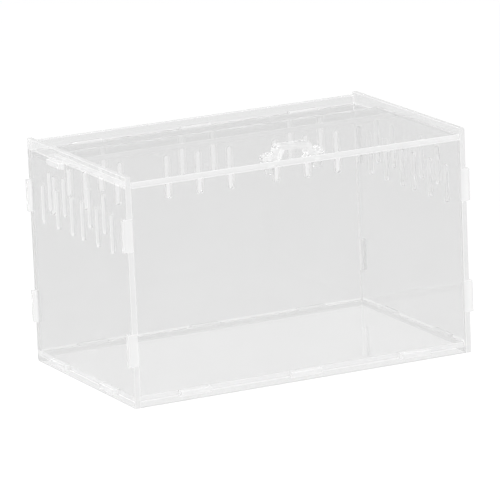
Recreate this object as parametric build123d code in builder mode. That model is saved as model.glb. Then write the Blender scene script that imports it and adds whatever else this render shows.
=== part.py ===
from build123d import *
import os

# Reptile breeding box of clear sheet panels that slot together with tabs.
# Millimetres, +Z up, +X along the front to the right, +Y to the back.
# The origin is on the table under the middle of the box.

# Driving sizes of the box
box_length = 200
box_depth = 121
side_height = 123
sheet = 3
lid_level = 117
back_height = 121.5
floor_level = 3

# Tabs and the slots that they fill
tab_length = 17.5
tab_stand_out = 2.2
length_tab_pitch = 65.5
depth_tab_pitch = 60.5
corner_tab_heights = (31, 92)

# Vent slots, alternately low and high
vent_width = 3.2
vent_length = 21
low_vent_height = 90
high_vent_height = 98.5
vents_in_group = 5
back_vent_pitch = 9.5
back_group_pitch = 66
side_vent_pitch = 9
side_group_places = (-23.5, 25.5)

# Rear shelf and loose lid
shelf_depth = 45
shelf_tab_place = 23.25
lid_depth = 90.3
lid_side_play = 0.5

# Pull handle, screws and cap nuts
handle_place = -54
handle_length = 36
handle_width = 8
handle_rise = 7
handle_bar = 2.5
foot_thickness = 1.8
leg_outer_place = 10.9
leg_lean = 1.8
outer_bend = 2
inner_bend = 1.2
foot_corner = 2
screw_pitch = 28
screw_radius = 1.45
screw_hole_radius = 1.6
screw_head_radius = 2.8
screw_head_height = 1.7
screw_head_edge = 0.8
drive_width = 0.8
drive_length = 3.4
drive_depth = 0.9
nut_across_flats = 5.5
nut_hex_height = 2.6
nut_dome_radius = 2.6
nut_dome_bend = 2.3
nut_height = 5.2
nut_thread_radius = 1.5
nut_thread_depth = 3.8
screw_end_gap = 0.3

# Sizes that follow from them
half_length = box_length / 2
half_depth = box_depth / 2
inner_length = box_length - 2 * sheet
inner_depth = box_depth - 2 * sheet
tab_reach = sheet + tab_stand_out
tab_middle = tab_stand_out / 2 - sheet / 2
shelf_level = lid_level - sheet
shelf_middle = half_depth - sheet - shelf_depth / 2
lid_top = lid_level + sheet
lid_length = inner_length - 2 * lid_side_play
screw_tip = lid_level - nut_thread_depth + screw_end_gap

length_tab_places = (-length_tab_pitch, 0, length_tab_pitch)
depth_tab_places = (-depth_tab_pitch / 2, depth_tab_pitch / 2)
back_group_places = (-back_group_pitch, 0, back_group_pitch)
sides = {"left": -1, "right": 1}


# One group of upright slots, the outer and middle ones low
def vent_group(middle, pitch):
    for number in range(vents_in_group):
        height = low_vent_height if number % 2 == 0 else high_vent_height
        place = middle + (number - (vents_in_group - 1) / 2) * pitch
        with Locations((place, height)):
            SlotOverall(vent_length, vent_width, rotation=90, mode=Mode.SUBTRACT)


# Front or back panel with its corner tabs, seen from the front
def upright_outline(height):
    with Locations((0, height / 2)):
        Rectangle(inner_length, height)
    for side in sides.values():
        for tab_height in corner_tab_heights:
            with Locations((side * (half_length + tab_middle), tab_height)):
                Rectangle(tab_reach, tab_length)


# The three slots that take a level panel's tabs
def tab_slots_along_length(level):
    for place in length_tab_places:
        with Locations((place, level + sheet / 2)):
            Rectangle(tab_length, sheet, mode=Mode.SUBTRACT)


# Left and right side panels: they stand outermost and on the table
side_panels = {}
for side_name, side in sides.items():
    outer_plane = Plane.YZ.offset(side * half_length)
    with BuildPart() as side_panel:
        with BuildSketch(outer_plane):
            with Locations((0, side_height / 2)):
                Rectangle(box_depth, side_height)
            for end in (-1, 1):
                for tab_height in corner_tab_heights:
                    with Locations((end * (half_depth - sheet / 2), tab_height)):
                        Rectangle(sheet, tab_length, mode=Mode.SUBTRACT)
            for place in depth_tab_places:
                with Locations((place, floor_level + sheet / 2)):
                    Rectangle(tab_length, sheet, mode=Mode.SUBTRACT)
            with Locations((shelf_tab_place, shelf_level + sheet / 2)):
                Rectangle(tab_length, sheet, mode=Mode.SUBTRACT)
            for group_place in side_group_places:
                vent_group(group_place, side_vent_pitch)
        extrude(amount=-side * sheet)
    side_panel.part.label = f"{side_name}_side_panel"
    side_panels[side_name] = side_panel.part

# Front panel: plain, lower than the sides by the lid and its rim
with BuildPart() as front_panel:
    with BuildSketch(Plane.XZ.offset(half_depth)):
        upright_outline(lid_level)
        tab_slots_along_length(floor_level)
    extrude(amount=-sheet)
front_panel.part.label = "front_panel"

# Back panel: three groups of vents, and slots for the floor and the shelf
with BuildPart() as back_panel:
    with BuildSketch(Plane.XZ.offset(-half_depth)):
        upright_outline(back_height)
        tab_slots_along_length(floor_level)
        tab_slots_along_length(shelf_level)
        for group_place in back_group_places:
            vent_group(group_place, back_vent_pitch)
    extrude(amount=sheet)
back_panel.part.label = "back_panel"

# Floor panel: tabs on all four edges, held one sheet above the table
with BuildPart() as floor_panel:
    with BuildSketch(Plane.XY.offset(floor_level)):
        Rectangle(inner_length, inner_depth)
        for end in (-1, 1):
            for place in length_tab_places:
                with Locations((place, end * (half_depth + tab_middle))):
                    Rectangle(tab_length, tab_reach)
            for place in depth_tab_places:
                with Locations((end * (half_length + tab_middle), place)):
                    Rectangle(tab_reach, tab_length)
    extrude(amount=sheet)
floor_panel.part.label = "floor_panel"

# Rear shelf: fixed part of the top, one sheet under the lid
with BuildPart() as rear_shelf:
    with BuildSketch(Plane.XY.offset(shelf_level)):
        with Locations((0, shelf_middle)):
            Rectangle(inner_length, shelf_depth)
        for place in length_tab_places:
            with Locations((place, half_depth + tab_middle)):
                Rectangle(tab_length, tab_reach)
        for side in sides.values():
            with Locations((side * (half_length + tab_middle), shelf_tab_place)):
                Rectangle(tab_reach, tab_length)
    extrude(amount=sheet)
rear_shelf.part.label = "rear_shelf"

# Lid: lies loose on the front panel and the shelf, between the side panels
with BuildPart() as lid:
    with BuildSketch(Plane.XY.offset(lid_level)):
        with Locations((0, lid_depth / 2 - half_depth)):
            Rectangle(lid_length, lid_depth)
        for side in sides.values():
            with Locations((side * screw_pitch / 2, handle_place)):
                Circle(screw_hole_radius, mode=Mode.SUBTRACT)
    extrude(amount=sheet)
lid.part.label = "lid"

# Pull handle: a low bow with flat feet, drawn from the front and pulled in Y
foot_end = handle_length / 2
foot_top = lid_top + foot_thickness
bow_top = lid_top + handle_rise
bow_roof = bow_top - handle_bar
leg_inner_place = leg_outer_place - handle_bar
outer_corner = (leg_outer_place - leg_lean, bow_top)
inner_corner = (leg_inner_place - leg_lean, bow_roof)
right_half_outline = [
    (0, bow_top),
    outer_corner,
    (leg_outer_place, foot_top),
    (foot_end, foot_top),
    (foot_end, lid_top),
    (leg_inner_place, lid_top),
    inner_corner,
    (0, bow_roof),
]
with BuildPart() as lid_handle:
    with BuildSketch(Plane.XZ.offset(-handle_place - handle_width / 2)) as bow:
        with BuildLine():
            Polyline(*right_half_outline, close=True)
        make_face()
        fillet(bow.vertices().sort_by_distance(outer_corner)[0], outer_bend)
        fillet(bow.vertices().sort_by_distance(inner_corner)[0], inner_bend)
        mirror(about=Plane.YZ)
    extrude(amount=handle_width)
    feet_ends = lid_handle.faces().sort_by(Axis.X)
    for foot_face in (feet_ends[0], feet_ends[-1]):
        fillet(foot_face.edges().filter_by(Axis.Z), foot_corner)
    with BuildSketch(Plane.XY.offset(foot_top)):
        with Locations((0, handle_place)):
            with GridLocations(screw_pitch, 0, 2, 1):
                Circle(screw_hole_radius)
    extrude(amount=-foot_thickness, mode=Mode.SUBTRACT)
lid_handle.part.label = "lid_handle"

# Screws and cap nuts: one of each through either foot of the handle
handle_screws = {}
cap_nuts = {}
for side_name, side in sides.items():
    axis_place = (side * screw_pitch / 2, handle_place)

    with BuildPart() as screw:
        with BuildSketch(Plane.XY.offset(foot_top)):
            with Locations(axis_place):
                Circle(screw_head_radius)
        extrude(amount=screw_head_height)
        fillet(screw.edges().group_by(Axis.Z)[-1], screw_head_edge)
        with BuildSketch(Plane.XY.offset(foot_top)):
            with Locations(axis_place):
                Circle(screw_radius)
        extrude(amount=screw_tip - foot_top)
        with BuildSketch(Plane.XY.offset(foot_top + screw_head_height)):
            with Locations(axis_place):
                Rectangle(drive_length, drive_width)
                Rectangle(drive_width, drive_length)
        extrude(amount=-drive_depth, mode=Mode.SUBTRACT)
    screw.part.label = f"{side_name}_handle_screw"
    handle_screws[side_name] = screw.part

    with BuildPart() as cap_nut:
        with BuildSketch(Plane.XY.offset(lid_level)):
            with Locations(axis_place):
                RegularPolygon(nut_across_flats / 2, 6, major_radius=False)
        extrude(amount=-nut_hex_height)
        with BuildSketch(Plane.XY.offset(lid_level - nut_hex_height)):
            with Locations(axis_place):
                Circle(nut_dome_radius)
        extrude(amount=nut_hex_height - nut_height)
        fillet(cap_nut.edges().group_by(Axis.Z)[0], nut_dome_bend)
        with BuildSketch(Plane.XY.offset(lid_level)):
            with Locations(axis_place):
                Circle(nut_thread_radius)
        extrude(amount=-nut_thread_depth, mode=Mode.SUBTRACT)
    cap_nut.part.label = f"{side_name}_cap_nut"
    cap_nuts[side_name] = cap_nut.part

os.makedirs("parts", exist_ok=True)
single_pieces = [front_panel, back_panel, floor_panel, rear_shelf, lid, lid_handle]
pieces = [builder.part for builder in single_pieces]
for pair in (side_panels, handle_screws, cap_nuts):
    pieces.extend(pair.values())
for piece in pieces:
    export_step(piece, f"parts/{piece.label}.step")
    print(piece.label, "volume", round(piece.volume, 1), "mm3")
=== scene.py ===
import math

import bmesh
import bpy
from mathutils import Matrix, Vector
from mathutils.geometry import tessellate_polygon


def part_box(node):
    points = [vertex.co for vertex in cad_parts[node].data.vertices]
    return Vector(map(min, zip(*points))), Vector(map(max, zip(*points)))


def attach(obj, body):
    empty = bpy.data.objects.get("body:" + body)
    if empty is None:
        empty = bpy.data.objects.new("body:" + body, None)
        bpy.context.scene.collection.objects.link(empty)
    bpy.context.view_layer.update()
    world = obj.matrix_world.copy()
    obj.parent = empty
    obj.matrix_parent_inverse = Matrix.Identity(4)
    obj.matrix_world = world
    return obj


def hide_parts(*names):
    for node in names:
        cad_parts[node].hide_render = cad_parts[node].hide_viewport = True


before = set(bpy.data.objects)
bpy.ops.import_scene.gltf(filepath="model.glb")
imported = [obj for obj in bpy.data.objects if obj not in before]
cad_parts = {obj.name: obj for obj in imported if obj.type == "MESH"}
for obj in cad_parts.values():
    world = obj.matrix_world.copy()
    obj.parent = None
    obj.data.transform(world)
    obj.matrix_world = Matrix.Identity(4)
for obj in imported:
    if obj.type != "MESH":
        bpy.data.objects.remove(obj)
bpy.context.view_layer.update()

# Looks of a reptile breeding box of clear tabbed sheet.
# Everything is in metres, in the frame of the construction model.

mm = 0.001
scene = bpy.context.scene


# Small node helpers

def newMaterial(name):
    material = bpy.data.materials.new(name)
    material.use_nodes = True
    tree = material.node_tree
    tree.nodes.clear()
    return material, tree


def addNode(tree, kind, **sockets):
    node = tree.nodes.new(kind)
    for key, value in sockets.items():
        node.inputs[key.replace("_", " ")].default_value = value
    return node


def grey(level):
    return (level, level, level, 1.0)


def noiseOf(tree, size, detail):
    # size is the blob size in metres
    place = tree.nodes.new("ShaderNodeTexCoord")
    mapping = tree.nodes.new("ShaderNodeMapping")
    mapping.inputs["Scale"].default_value = [1 / size] * 3
    noise = addNode(tree, "ShaderNodeTexNoise", Scale=1.0, Detail=detail)
    tree.links.new(place.outputs["Object"], mapping.inputs["Vector"])
    tree.links.new(mapping.outputs["Vector"], noise.inputs["Vector"])
    return noise.outputs["Fac"]


def heightOf(tree):
    place = tree.nodes.new("ShaderNodeTexCoord")
    parts = tree.nodes.new("ShaderNodeSeparateXYZ")
    tree.links.new(place.outputs["Object"], parts.inputs["Vector"])
    return parts.outputs["Z"]


def spread(tree, source, fromSpan, toSpan):
    ranger = addNode(
        tree, "ShaderNodeMapRange",
        From_Min=fromSpan[0], From_Max=fromSpan[1], To_Min=toSpan[0], To_Max=toSpan[1],
    )
    tree.links.new(source, ranger.inputs["Value"])
    return ranger.outputs["Result"]


def greyRamp(tree, source, dark, light):
    ramp = tree.nodes.new("ShaderNodeValToRGB")
    ramp.color_ramp.elements[0].color = grey(dark)
    ramp.color_ramp.elements[1].color = grey(light)
    tree.links.new(source, ramp.inputs["Fac"])
    return ramp.outputs["Color"]


def mixColours(tree, share, first, second):
    # a mix node has sockets of each kind, its colours are 6 and 7 in and 2 out
    mix = tree.nodes.new("ShaderNodeMix")
    mix.data_type = "RGBA"
    tree.links.new(share, mix.inputs["Factor"])
    tree.links.new(first, mix.inputs[6])
    tree.links.new(second, mix.inputs[7])
    return mix.outputs[2]


def bumpOf(tree, source, strength, distance):
    bump = addNode(tree, "ShaderNodeBump", Strength=strength, Distance=distance)
    tree.links.new(source, bump.inputs["Height"])
    return bump.outputs["Normal"]


def letLightThrough(tree, shader, share):
    # light and soft bounces go straight through the clear sheet, only a little weaker
    path = tree.nodes.new("ShaderNodeLightPath")
    clear = addNode(tree, "ShaderNodeBsdfTransparent", Color=grey(share))
    forBounces = tree.nodes.new("ShaderNodeMixShader")
    forShadows = tree.nodes.new("ShaderNodeMixShader")
    output = tree.nodes.new("ShaderNodeOutputMaterial")
    tree.links.new(path.outputs["Is Diffuse Ray"], forBounces.inputs[0])
    tree.links.new(shader.outputs[0], forBounces.inputs[1])
    tree.links.new(clear.outputs[0], forBounces.inputs[2])
    tree.links.new(path.outputs["Is Shadow Ray"], forShadows.inputs[0])
    tree.links.new(forBounces.outputs[0], forShadows.inputs[1])
    tree.links.new(clear.outputs[0], forShadows.inputs[2])
    tree.links.new(forShadows.outputs[0], output.inputs["Surface"])


# Finishes: tints are (dark, light), and spans are (lowest, highest)

clearSheet = {
    "plainTint": (0.985, 0.995),
    # painted shade: the left, upright and lid tints are greys that stand in for the darker studio seen
    # through the clear sheets, the left one darkest; the plain tint is the sheet's own
    "leftPaintedShadeTint": (0.665, 0.685),
    "uprightPaintedShadeTint": (0.72, 0.74),
    # painted shade in bands up the uprights' outer faces: a darker rim over the lid, a darker foot under
    # the floor and a paler band in front of the floor's edge
    "lidPaintedShadeTint": (0.91, 0.935),
    "rimPaintedShadeTint": (0.61, 0.63),
    "footPaintedShadeTint": (0.64, 0.66),
    "floorEdgePaintedShadeTint": (0.93, 0.95),
    "floorEdgeShadeShift": 0.4 * mm,
    "paintedShadeBlend": 0.1 * mm,
    "bend": 1.49,
    "rough": (0.0, 0.03),
    "smudgeSize": 35 * mm,
    "smudgeDetail": 3,
    "smudgeSpan": (0.55, 0.75),
    "wave": 0.05,
    "waveSize": 60 * mm,
    "waveDetail": 1,
    "waveHeight": 0.1 * mm,
    "lightShare": 0.999,
}


def makeClearSheet(name, tint, paintedShadeBands=()):
    # bands are (height, tint) pairs of painted shade from the foot up, each tint holds from its height on
    values = clearSheet
    material, tree = newMaterial(name)
    shader = addNode(tree, "ShaderNodeBsdfPrincipled", IOR=values["bend"], Transmission_Weight=1.0)
    smudges = noiseOf(tree, values["smudgeSize"], values["smudgeDetail"])
    # on every face but the plain one, this tint is painted shade
    colour = greyRamp(tree, smudges, *tint)
    blend = values["paintedShadeBlend"]
    for height, bandPaintedShade in paintedShadeBands:
        above = spread(tree, heightOf(tree), (height - blend, height + blend), (0, 1))
        colour = mixColours(tree, above, colour, greyRamp(tree, smudges, *bandPaintedShade))
    rough = spread(tree, smudges, values["smudgeSpan"], values["rough"])
    waves = noiseOf(tree, values["waveSize"], values["waveDetail"])
    tree.links.new(colour, shader.inputs["Base Color"])
    tree.links.new(rough, shader.inputs["Roughness"])
    tree.links.new(bumpOf(tree, waves, values["wave"], values["waveHeight"]), shader.inputs["Normal"])
    letLightThrough(tree, shader, values["lightShare"])
    return material


def makeUprightPaintedShadeFace(name, mainPaintedShade, rimPaintedShadeTint):
    # painted shade on an upright's outer face, paler in front of the floor's edge, with painted shades
    # of their own for the foot under it and for the rim that stands over the lid
    floorLow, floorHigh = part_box("floor_panel")
    shift = clearSheet["floorEdgeShadeShift"]
    paintedShadeBands = (
        (floorLow.z + shift, clearSheet["floorEdgePaintedShadeTint"]),
        (floorHigh.z + shift, mainPaintedShade),
        (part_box("lid")[0].z, rimPaintedShadeTint),
    )
    return makeClearSheet(name, clearSheet["footPaintedShadeTint"], paintedShadeBands)


def makeGrainedPlastic(name, values):
    # partly clear, with a fine grain in its tint, roughness and surface
    material, tree = newMaterial(name)
    shader = addNode(
        tree, "ShaderNodeBsdfPrincipled", IOR=values["bend"], Transmission_Weight=values["clear"]
    )
    grain = noiseOf(tree, values["grainSize"], values["grainDetail"])
    rough = spread(tree, grain, values["grainSpan"], values["rough"])
    tree.links.new(greyRamp(tree, grain, *values["tint"]), shader.inputs["Base Color"])
    tree.links.new(rough, shader.inputs["Roughness"])
    tree.links.new(bumpOf(tree, grain, values["bump"], values["bumpHeight"]), shader.inputs["Normal"])
    letLightThrough(tree, shader, values["lightShare"])
    return material


cutEdge = {
    "bend": 1.49,
    "grainSize": 0.35 * mm,
    "grainDetail": 2,
    "grainSpan": (0.3, 0.7),
    "bumpHeight": 0.02 * mm,
    "lightShare": 1.0,
    "kinds": {
        "frosted": {"tint": (0.89, 0.94), "clear": 0.25, "rough": (0.05, 0.2), "bump": 0.1},
        "lasered": {"tint": (0.99, 1.0), "clear": 0.55, "rough": (0.05, 0.15), "bump": 0.0},
        "tab": {"tint": (0.98, 1.0), "clear": 0.5, "rough": (0.02, 0.12), "bump": 0.05},
        "level": {"tint": (0.96, 1.0), "clear": 0.45, "rough": (0.05, 0.2), "bump": 0.03},
        "arris": {"tint": (0.99, 1.0), "clear": 0.1, "rough": (0.1, 0.3), "bump": 0.0},
    },
}


def makeCutEdge(kind):
    # frosted edges are dull and greyer, all others pale and about half clear, arrises nearly white; the
    # pale edges are partly the cut sheet's own frosted finish and partly painted highlight, standing in for
    # light carried out at the sheets' edges
    return makeGrainedPlastic(f"{kind}Edge", {**cutEdge, **cutEdge["kinds"][kind]})


mouldedPlastic = {
    "tint": (0.98, 1.0),
    "bend": 1.5,
    "clear": 0.7,
    "rough": (0.0, 0.05),
    "grainSize": 3 * mm,
    "grainDetail": 2,
    "grainSpan": (0.35, 0.65),
    "bump": 0.15,
    "bumpHeight": 0.05 * mm,
    "lightShare": 1.0,
}
milkyNylon = {
    "tint": (0.98, 1.0),
    "bend": 1.53,
    "clear": 0.6,
    "rough": (0.05, 0.15),
    "grainSize": 0.5 * mm,
    "grainDetail": 3,
    "grainSpan": (0.3, 0.7),
    "bump": 0.1,
    "bumpHeight": 0.01 * mm,
    "lightShare": 1.0,
}

plainFace = makeClearSheet("plainFace", clearSheet["plainTint"])
# the left face's rim over the lid keeps the plain tint and has no painted shade, so that the lid's edge
# behind it shows as a painted light line
leftPaintedShadeFace = makeUprightPaintedShadeFace("leftPaintedShadeFace", clearSheet["leftPaintedShadeTint"], clearSheet["plainTint"])
uprightPaintedShadeFace = makeUprightPaintedShadeFace("uprightPaintedShadeFace", clearSheet["uprightPaintedShadeTint"], clearSheet["rimPaintedShadeTint"])
lidPaintedShadeFace = makeClearSheet("lidPaintedShadeFace", clearSheet["lidPaintedShadeTint"])
frostedEdge = makeCutEdge("frosted")
laseredEdge = makeCutEdge("lasered")
tabFace = makeCutEdge("tab")
levelEdge = makeCutEdge("level")
arrisFace = makeCutEdge("arris")
mouldedFinish = makeGrainedPlastic("mouldedPlastic", mouldedPlastic)
nylonFinish = makeGrainedPlastic("milkyNylon", milkyNylon)
print("finishes ready")


# Shared sizes of the box
boxSizes = {
    "sheet": 3 * mm,
    "tabLength": 17.5 * mm,
    "tabStandOut": 2.2 * mm,
    "lengthTabPitch": 65.5 * mm,
    "depthTabPitch": 60.5 * mm,
    "cornerTabHeights": (31 * mm, 92 * mm),
    "shelfTabPlace": 23.25 * mm,
}
ventSizes = {
    "width": 3.2 * mm,
    "length": 21 * mm,
    "low": 90 * mm,
    "high": 98.5 * mm,
    "count": 5,
    "backPitch": 9.5 * mm,
    "backGroupPitch": 66 * mm,
    "sidePitch": 9 * mm,
    "sideGroups": (-23.5 * mm, 25.5 * mm),
}

sheet = boxSizes["sheet"]
tabLength = boxSizes["tabLength"]
tabReach = sheet + boxSizes["tabStandOut"]
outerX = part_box("right_side_panel")[1].x
innerX = outerX - sheet
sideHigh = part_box("left_side_panel")[1]
outerY = sideHigh.y
innerY = outerY - sheet
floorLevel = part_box("floor_panel")[0].z
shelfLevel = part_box("rear_shelf")[0].z
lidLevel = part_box("lid")[0].z
lengthTabs = [step * boxSizes["lengthTabPitch"] for step in (-1, 0, 1)]
depthTabs = [step * boxSizes["depthTabPitch"] / 2 for step in (-1, 1)]
shelfTabs = [boxSizes["shelfTabPlace"]]


# Cut sheets: flat outlines are lists of (across, up) points with the sheet on their left

sheetCut = {
    "kerf": 0.03 * mm,
    "edgeSoftness": 0.2 * mm,
    "slotEndSteps": 10,
}
tabCorners = ((-0.5, 0), (-0.5, 1), (0.5, 1), (0.5, 0))        # in tab lengths along and reaches out
tabTips = (1, 2)        # the outer two of them
squareCorners = 4
tabIndex, edgeIndex, ventIndex, lowIndex, highIndex, arrisIndex = range(6)        # material slots


def movedIn(loop, amount):
    # every point goes left of the outline's direction, into the sheet
    moved = []
    for number, point in enumerate(loop):
        before = (point - loop[number - 1]).normalized()
        after = (loop[(number + 1) % len(loop)] - point).normalized()
        leftBefore = Vector((-before.y, before.x))
        leftAfter = Vector((-after.y, after.x))
        moved.append(point + (leftBefore + leftAfter) * amount / (1 + leftBefore.dot(leftAfter)))
    return moved


def steppedEdge(start, end, places, length, reach):
    # a straight edge from start with square steps outwards (or inwards, with a negative reach)
    along = (end - start).normalized()
    outwards = Vector((along.y, -along.x))
    points = [start]
    for place in sorted(places, key=lambda p: (p - start).dot(along)):
        for shift, out in tabCorners:
            points.append(place + along * shift * length + outwards * out * reach)
    return points


def rectangleLoop(middle, across, up):
    # clockwise, so that the sheet is on the left
    corners = ((-1, -1), (-1, 1), (1, 1), (1, -1))
    return [Vector((middle[0] + x * across / 2, middle[1] + y * up / 2)) for x, y in corners]


def slotLoop(middle, width, length, steps):
    # an upright slot with round ends, clockwise
    radius = width / 2
    points = []
    for side in (1, -1):
        for step in range(steps + 1):
            angle = math.pi * (1 - step / steps) if side > 0 else -math.pi * step / steps
            across = middle[0] + radius * math.cos(angle)
            up = middle[1] + side * (length / 2 - radius) + radius * math.sin(angle)
            points.append(Vector((across, up)))
    return points


def roundLoop(middle, radius, steps):
    # a round hole, clockwise
    points = []
    for step in range(steps):
        angle = 2 * math.pi * step / steps
        points.append(Vector((middle[0] + radius * math.cos(angle), middle[1] - radius * math.sin(angle))))
    return points


def cutSheet(name, outline, tabs, holes, toRoom, rides, finishes):
    # rings of points up the sheet's thickness, with softened arrises, and a filled face at each end
    # rides is (body, node, slot), of which the slot is not used, and finishes are those of the outer edge
    # and the tab slots, of the vents or round holes, and of the low and the high face
    kerf = sheetCut["kerf"]
    soft = sheetCut["edgeSoftness"]
    levels = (
        (kerf, kerf + soft),
        (kerf + soft, kerf),
        (sheet - kerf - soft, kerf),
        (sheet - kerf, kerf + soft),
    )
    mesh = bmesh.new()
    loops = [outline] + holes
    rings = []
    for height, inset in levels:
        rings.append([
            [mesh.verts.new(toRoom @ Vector((p.x, p.y, height))) for p in movedIn(loop, inset)]
            for loop in loops
        ])
    for rowNumber, (lower, upper) in enumerate(zip(rings, rings[1:])):
        isArris = rowNumber != 1        # the middle row is the wall itself
        for loopNumber, (low, high) in enumerate(zip(lower, upper)):
            # the square slots, which hold tabs, are finished like the outline
            isVent = loopNumber > 0 and len(low) > squareCorners
            wallIndex = ventIndex if isVent else edgeIndex
            for number in range(len(low)):
                after = (number + 1) % len(low)
                wall = mesh.faces.new((low[number], low[after], high[after], high[number]))
                wall.material_index = arrisIndex if isArris else wallIndex
    # the face proper leaves out the tabs, which are four-sided faces of their own
    inset = levels[0][1]
    tips = {start + step for start in tabs for step in tabTips}
    flat = [[Vector((p.x, p.y, 0)) for p in movedIn(loop, inset)] for loop in loops]
    kept = [n for n in range(len(outline)) if n not in tips]
    flat[0] = [flat[0][n] for n in kept]
    for ring, turned, faceIndex in ((rings[0], True, lowIndex), (rings[-1], False, highIndex)):
        corners = [ring[0][n] for n in kept] + [vertex for loop in ring[1:] for vertex in loop]
        for triangle in tessellate_polygon(flat):
            face = mesh.faces.new([corners[i] for i in (reversed(triangle) if turned else triangle)])
            face.material_index = faceIndex
        for start in tabs:
            tab = [ring[0][start + step] for step in range(len(tabCorners))]
            mesh.faces.new(tab[::-1] if turned else tab).material_index = tabIndex
    bmesh.ops.recalc_face_normals(mesh, faces=mesh.faces)
    data = bpy.data.meshes.new(name)
    mesh.to_mesh(data)
    mesh.free()
    for finish in (tabFace, *finishes, arrisFace):
        data.materials.append(finish)
    piece = bpy.data.objects.new(name, data)
    scene.collection.objects.link(piece)
    body, node, slot = rides
    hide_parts(node)
    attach(piece, body)
    return piece


def standingAcross(depth):
    # sheet drawn as seen from the front, its thickness going back from depth
    return Matrix(((1, 0, 0, 0), (0, 0, 1, depth), (0, 1, 0, 0), (0, 0, 0, 1)))


def standingAlong(place):
    # sheet drawn across Y, its thickness going to the right from place
    return Matrix(((0, 0, 1, place), (1, 0, 0, 0), (0, 1, 0, 0), (0, 0, 0, 1)))


def lyingAt(level):
    return Matrix.Translation((0, 0, level))


def ventGroup(middle, pitch):
    values = ventSizes
    loops = []
    for number in range(values["count"]):
        height = values["low"] if number % 2 == 0 else values["high"]
        place = middle + (number - (values["count"] - 1) / 2) * pitch
        loops.append(slotLoop((place, height), values["width"], values["length"], sheetCut["slotEndSteps"]))
    return loops


def tabbedOutline(left, right, low, high, below=(), above=(), sides=(), reach=tabReach, sideReach=None):
    # counterclockwise from the low left corner, with tabs on the named edges
    sideReach = reach if sideReach is None else sideReach
    corners = [Vector(p) for p in ((left, low), (right, low), (right, high), (left, high))]
    tabsOnEdges = (
        [Vector((x, low)) for x in below],
        [Vector((right, y)) for y in sides],
        [Vector((x, high)) for x in above],
        [Vector((left, y)) for y in sides],
    )
    reaches = (reach, sideReach, reach, sideReach)
    outline, tabs = [], []
    for number, places in enumerate(tabsOnEdges):
        if reaches[number] > 0:
            tabs += [len(outline) + 1 + len(tabCorners) * count for count in range(len(places))]
        following = corners[(number + 1) % len(corners)]
        outline += steppedEdge(corners[number], following, places, tabLength, reaches[number])
    return outline, tabs


def slotsAcross(level, places):
    return [rectangleLoop((place, level + sheet / 2), tabLength, sheet) for place in places]


# Side panels: notched at the corners for the front and back panels' tabs
for sideName, left, sideFinishes in (
    ("left", -outerX, (frostedEdge, frostedEdge, leftPaintedShadeFace, plainFace)),
    ("right", innerX, (frostedEdge, laseredEdge, plainFace, uprightPaintedShadeFace)),
):
    sideOutline, sideTabs = tabbedOutline(
        -outerY, outerY, 0, sideHigh.z, sides=boxSizes["cornerTabHeights"], reach=0, sideReach=-sheet
    )
    sideHoles = slotsAcross(floorLevel, depthTabs) + slotsAcross(shelfLevel, shelfTabs)
    for groupPlace in ventSizes["sideGroups"]:
        sideHoles += ventGroup(groupPlace, ventSizes["sidePitch"])
    cutSheet(
        f"{sideName}SidePanel", sideOutline, sideTabs, sideHoles, standingAlong(left),
        ("box", f"{sideName}_side_panel", "box_sheet"), sideFinishes,
    )

# Front panel: plain, with slots for the floor's tabs
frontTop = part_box("front_panel")[1].z
frontOutline, frontTabs = tabbedOutline(-innerX, innerX, 0, frontTop, sides=boxSizes["cornerTabHeights"])
cutSheet(
    "frontPanel", frontOutline, frontTabs, slotsAcross(floorLevel, lengthTabs), standingAcross(-outerY),
    ("box", "front_panel", "box_sheet"), (frostedEdge, laseredEdge, uprightPaintedShadeFace, plainFace),
)

# Back panel: three groups of vents, slots for the floor and the shelf
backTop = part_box("back_panel")[1].z
backOutline, backTabs = tabbedOutline(-innerX, innerX, 0, backTop, sides=boxSizes["cornerTabHeights"])
backHoles = slotsAcross(floorLevel, lengthTabs) + slotsAcross(shelfLevel, lengthTabs)
for step in (-1, 0, 1):
    backHoles += ventGroup(step * ventSizes["backGroupPitch"], ventSizes["backPitch"])
cutSheet(
    "backPanel", backOutline, backTabs, backHoles, standingAcross(innerY),
    ("box", "back_panel", "box_sheet"), (levelEdge, laseredEdge, plainFace, uprightPaintedShadeFace),
)

# Floor and rear shelf
floorOutline, floorTabs = tabbedOutline(
    -innerX, innerX, -innerY, innerY, below=lengthTabs, above=lengthTabs, sides=depthTabs
)
cutSheet(
    "floorPanel", floorOutline, floorTabs, [], lyingAt(floorLevel),
    ("box", "floor_panel", "box_sheet"), (levelEdge, levelEdge, plainFace, plainFace),
)
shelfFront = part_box("rear_shelf")[0].y
shelfOutline, shelfTabStarts = tabbedOutline(
    -innerX, innerX, shelfFront, innerY, above=lengthTabs, sides=shelfTabs
)
cutSheet(
    "rearShelf", shelfOutline, shelfTabStarts, [], lyingAt(shelfLevel),
    ("box", "rear_shelf", "box_sheet"), (levelEdge, levelEdge, plainFace, plainFace),
)
print("fixed sheets ready")

# Loose lid with two holes for the handle's screws
lidValues = {"holeRadius": 1.6 * mm, "holeSteps": 24, "screwPitch": 28 * mm}
lidLow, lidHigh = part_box("lid")
screwLow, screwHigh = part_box("left_handle_screw")
screwY = (screwLow.y + screwHigh.y) / 2
lidOutline, lidTabs = tabbedOutline(lidLow.x, lidHigh.x, lidLow.y, lidHigh.y)
lidHoles = [
    roundLoop((side * lidValues["screwPitch"] / 2, screwY), lidValues["holeRadius"], lidValues["holeSteps"])
    for side in (-1, 1)
]
cutSheet(
    "lidSheet", lidOutline, lidTabs, lidHoles, lyingAt(lidLevel),
    ("lid", "lid", "lid_sheet"), (levelEdge, levelEdge, plainFace, lidPaintedShadeFace),
)
print("lid ready")

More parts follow.
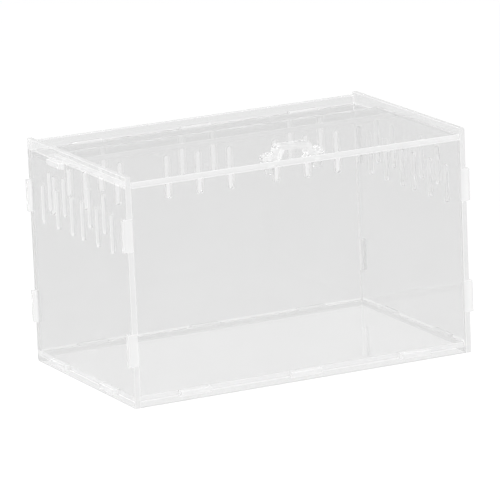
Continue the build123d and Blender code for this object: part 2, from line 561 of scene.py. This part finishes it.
# Handle, screws and nuts
for nodeName, finish in (
    ("lid_handle", mouldedFinish),
    ("left_handle_screw", nylonFinish),
    ("right_handle_screw", nylonFinish),
    ("left_cap_nut", nylonFinish),
    ("right_cap_nut", nylonFinish),
):
    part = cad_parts[nodeName]
    part.data.materials.clear()
    part.data.materials.append(finish)
print("handle ready")


# Table top, world, lamps and camera

def seenByCamera(tree):
    # one for what the camera sees straight on, in a mirror image or through the clear sheets
    path = tree.nodes.new("ShaderNodeLightPath")
    seen = path.outputs["Is Camera Ray"]
    for rayKind in ("Is Glossy Ray", "Is Transmission Ray"):
        either = tree.nodes.new("ShaderNodeMath")
        either.operation = "MAXIMUM"
        tree.links.new(seen, either.inputs[0])
        tree.links.new(path.outputs[rayKind], either.inputs[1])
        seen = either.outputs[0]
    return seen


def stageSquare(name, corners, material):
    data = bpy.data.meshes.new(name)
    data.from_pydata(corners, [], [(0, 1, 2, 3)])
    data.materials.append(material)
    square = bpy.data.objects.new(name, data)
    scene.collection.objects.link(square)
    return square


tableTop = {"halfSide": 6.0, "colour": 0.80, "glow": 0.25}


def makeTableTop():
    values = tableTop
    material, tree = newMaterial("tableTop")
    glow = tree.nodes.new("ShaderNodeMath")
    glow.operation = "MULTIPLY"
    glow.inputs[1].default_value = values["glow"]
    tree.links.new(seenByCamera(tree), glow.inputs[0])
    cloth = addNode(tree, "ShaderNodeBsdfDiffuse", Color=grey(values["colour"]))
    light = addNode(tree, "ShaderNodeEmission", Color=grey(1.0))
    tree.links.new(glow.outputs[0], light.inputs["Strength"])
    both = tree.nodes.new("ShaderNodeAddShader")
    tree.links.new(cloth.outputs[0], both.inputs[0])
    tree.links.new(light.outputs[0], both.inputs[1])
    output = tree.nodes.new("ShaderNodeOutputMaterial")
    tree.links.new(both.outputs[0], output.inputs["Surface"])
    half = values["halfSide"]
    corners = [(-half, -half, 0), (half, -half, 0), (half, half, 0), (-half, half, 0)]
    stageSquare("tableTop", corners, material)


studio = {
    "backdrop": 1.0,
    "ambient": 0.93,
    "lamps": {
        "topLamp": {"power": 0.5, "side": 0.2, "place": (-0.15, -0.2, 0.9)},
        "frontLamp": {"power": 0.65, "side": 0.25, "place": (-0.785, -0.66, 0.8)},
    },
}


def makeStudio():
    values = studio
    world = bpy.data.worlds.new("studio")
    scene.world = world
    world.use_nodes = True
    tree = world.node_tree
    tree.nodes.clear()
    backdrop = addNode(tree, "ShaderNodeBackground", Color=grey(values["backdrop"]), Strength=1.0)
    ambient = addNode(tree, "ShaderNodeBackground", Color=grey(1.0), Strength=values["ambient"])
    mix = tree.nodes.new("ShaderNodeMixShader")
    output = tree.nodes.new("ShaderNodeOutputWorld")
    tree.links.new(seenByCamera(tree), mix.inputs[0])
    tree.links.new(ambient.outputs[0], mix.inputs[1])
    tree.links.new(backdrop.outputs[0], mix.inputs[2])
    tree.links.new(mix.outputs[0], output.inputs["Surface"])

    for lampName, lampValues in values["lamps"].items():
        light = bpy.data.lights.new(lampName, "AREA")
        light.size = lampValues["side"]
        light.energy = lampValues["power"]
        lamp = bpy.data.objects.new(lampName, light)
        scene.collection.objects.link(lamp)
        place = Vector(lampValues["place"])
        lamp.location = place
        lamp.rotation_euler = (-place).to_track_quat("-Z", "Y").to_euler()        # aimed at the box


# a pale grey card over and behind the box, for the lid to mirror
card = {"level": 0.68, "away": 0.35, "low": 0.145, "high": 0.26, "halfWidth": 0.3}


def makeCard():
    values = card
    material, tree = newMaterial("greyCard")
    light = addNode(tree, "ShaderNodeEmission", Color=grey(values["level"]), Strength=1.0)
    output = tree.nodes.new("ShaderNodeOutputMaterial")
    tree.links.new(light.outputs[0], output.inputs["Surface"])
    turned = Matrix.Rotation(math.radians(cameraValues["turn"]), 4, "Z")
    places = ((-1, values["low"]), (1, values["low"]), (1, values["high"]), (-1, values["high"]))
    corners = [turned @ Vector((side * values["halfWidth"], values["away"], z)) for side, z in places]
    greyCard = stageSquare("greyCard", corners, material)
    greyCard.visible_camera = False
    greyCard.visible_diffuse = False
    greyCard.visible_shadow = False


# distances in metres, angles in degrees, lens and sensor in millimetres
cameraValues = {
    "aim": (0.00255, 0.00481, 0.05759),
    "distance": 2.7,
    "turn": -26.486,
    "height": 13.389,
    "roll": -2.324,
    "lens": 362.66,
    "sensor": 36,
    "farthest": 50,
}


def makeCamera():
    values = cameraValues
    lens = bpy.data.cameras.new("camera")
    lens.lens = values["lens"]
    lens.sensor_width = values["sensor"]
    lens.clip_end = values["farthest"]
    camera = bpy.data.objects.new("camera", lens)
    scene.collection.objects.link(camera)
    turned = (
        Matrix.Rotation(math.radians(values["turn"]), 4, "Z")
        @ Matrix.Rotation(math.radians(90 - values["height"]), 4, "X")
        @ Matrix.Rotation(math.radians(values["roll"]), 4, "Z")
    )
    stepBack = Matrix.Translation((0, 0, values["distance"]))
    camera.matrix_world = Matrix.Translation(values["aim"]) @ turned @ stepBack
    scene.camera = camera


# many bounces, since light meets a dozen clear faces on its way
bounces = {"clearSheet": 100, "straightThrough": 40}

makeTableTop()
makeStudio()
makeCard()
makeCamera()
scene.view_settings.view_transform = "Standard"
scene.cycles.max_bounces = bounces["clearSheet"]
scene.cycles.transmission_bounces = bounces["clearSheet"]
scene.cycles.glossy_bounces = bounces["clearSheet"]
scene.cycles.transparent_max_bounces = bounces["straightThrough"]
print("studio ready")
